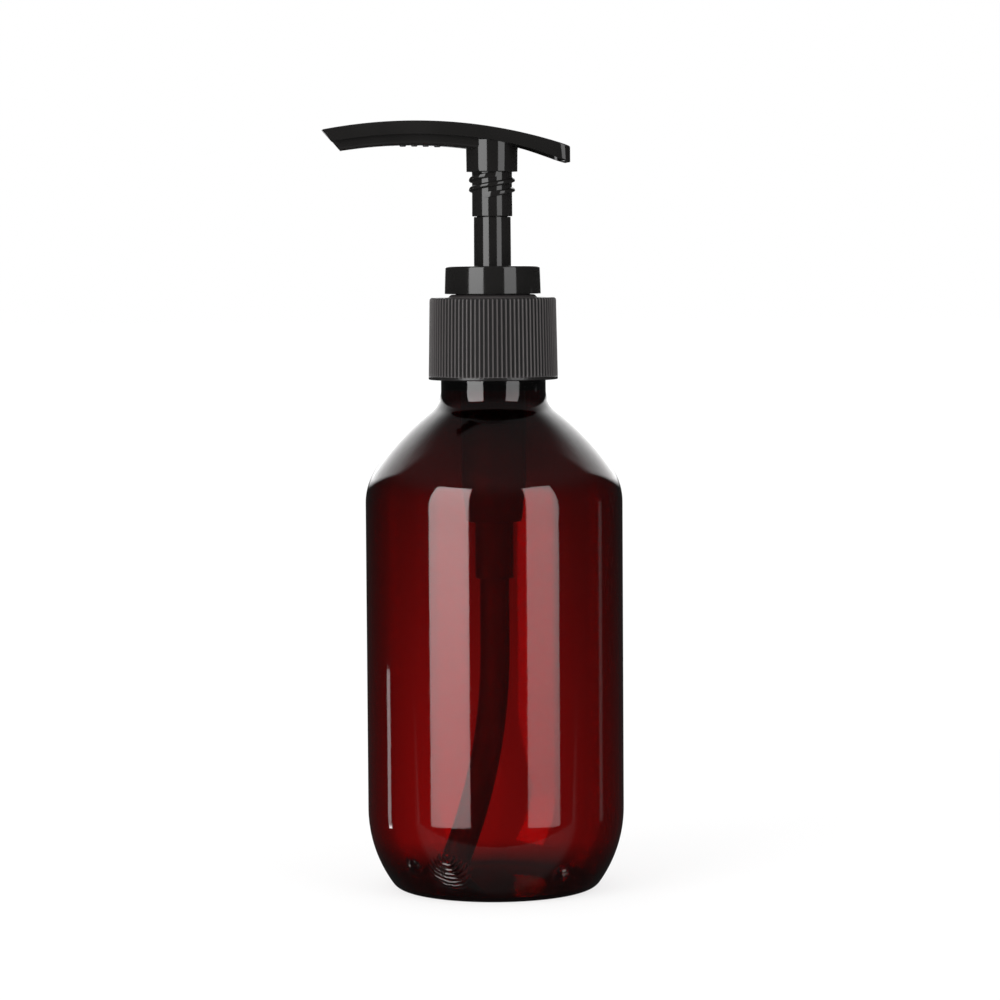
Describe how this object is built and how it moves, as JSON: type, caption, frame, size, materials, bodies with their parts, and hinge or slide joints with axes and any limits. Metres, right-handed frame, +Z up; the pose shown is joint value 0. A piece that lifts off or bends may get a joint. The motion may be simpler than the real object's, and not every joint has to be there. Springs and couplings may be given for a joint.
{
  "type": "pump bottle",
  "caption": "Transparent red round-shouldered bottle with a ribbed black screw closure and a lock-down lotion pump with an arched spout.",
  "frame": {"origin": "centre of the bottle's foot ring, on the surface that the bottle stands on", "axes": "+Z up along the bottle's and the pump's common axis; the spout points along -X when the head is at rest"},
  "size_m": [0.0753, 0.0652, 0.1946],
  "materials": {
    "red_pet": "gloss, transparent",
    "black_satin": "satin",
    "black_gloss": "gloss",
    "tube": "satin",
    "foam": "matt",
    "natural": "satin",
    "steel": "bright drawn"
  },
  "bodies": {
    "bottle": {"bottle": "red_pet"},
    "pump_body": {"housing": "black_gloss", "chaplet": "black_gloss", "gasket": "foam", "dip_tube": "tube", "spring": "steel"},
    "closure": {"closure": "black_satin"},
    "rod": {"piston_rod": "black_gloss"},
    "head": {"head": "black_gloss", "stem": "black_gloss"},
    "piston": {"piston": "natural"},
    "ball": {"ball": "steel"}
  },
  "joints": [
    {"name": "pump_rise", "type": "slide", "parent": "bottle", "child": "pump_body", "axis": [0, 0, 1], "range_m": [0, 0.00634]},
    {"name": "closure_turn", "type": "hinge", "parent": "pump_body", "child": "closure", "pos_m": [0, 0, 0.14], "axis": [0, 0, 1], "range_deg": [0, 540]},
    {"name": "pump_stroke", "type": "slide", "parent": "pump_body", "child": "rod", "axis": [0, 0, 1], "range_m": [-0.0184, 0], "stiffness_N_per_m": 600, "springref_m": 0.01, "deforming": ["spring"]},
    {"name": "head_turn", "type": "hinge", "parent": "rod", "child": "head", "pos_m": [0, 0, 0.17], "axis": [0, 0, 1], "continuous": true},
    {"name": "piston_slip", "type": "slide", "parent": "rod", "child": "piston", "axis": [0, 0, 1], "range_m": [0, 0.0015]},
    {"name": "ball_lift", "type": "slide", "parent": "pump_body", "child": "ball", "axis": [0, 0, 1], "range_m": [0, 0.0017]}
  ],
  "couplings": [
    {"joint": "closure_turn", "follows": "pump_rise", "rad_per_m": 1484.3}
  ]
}
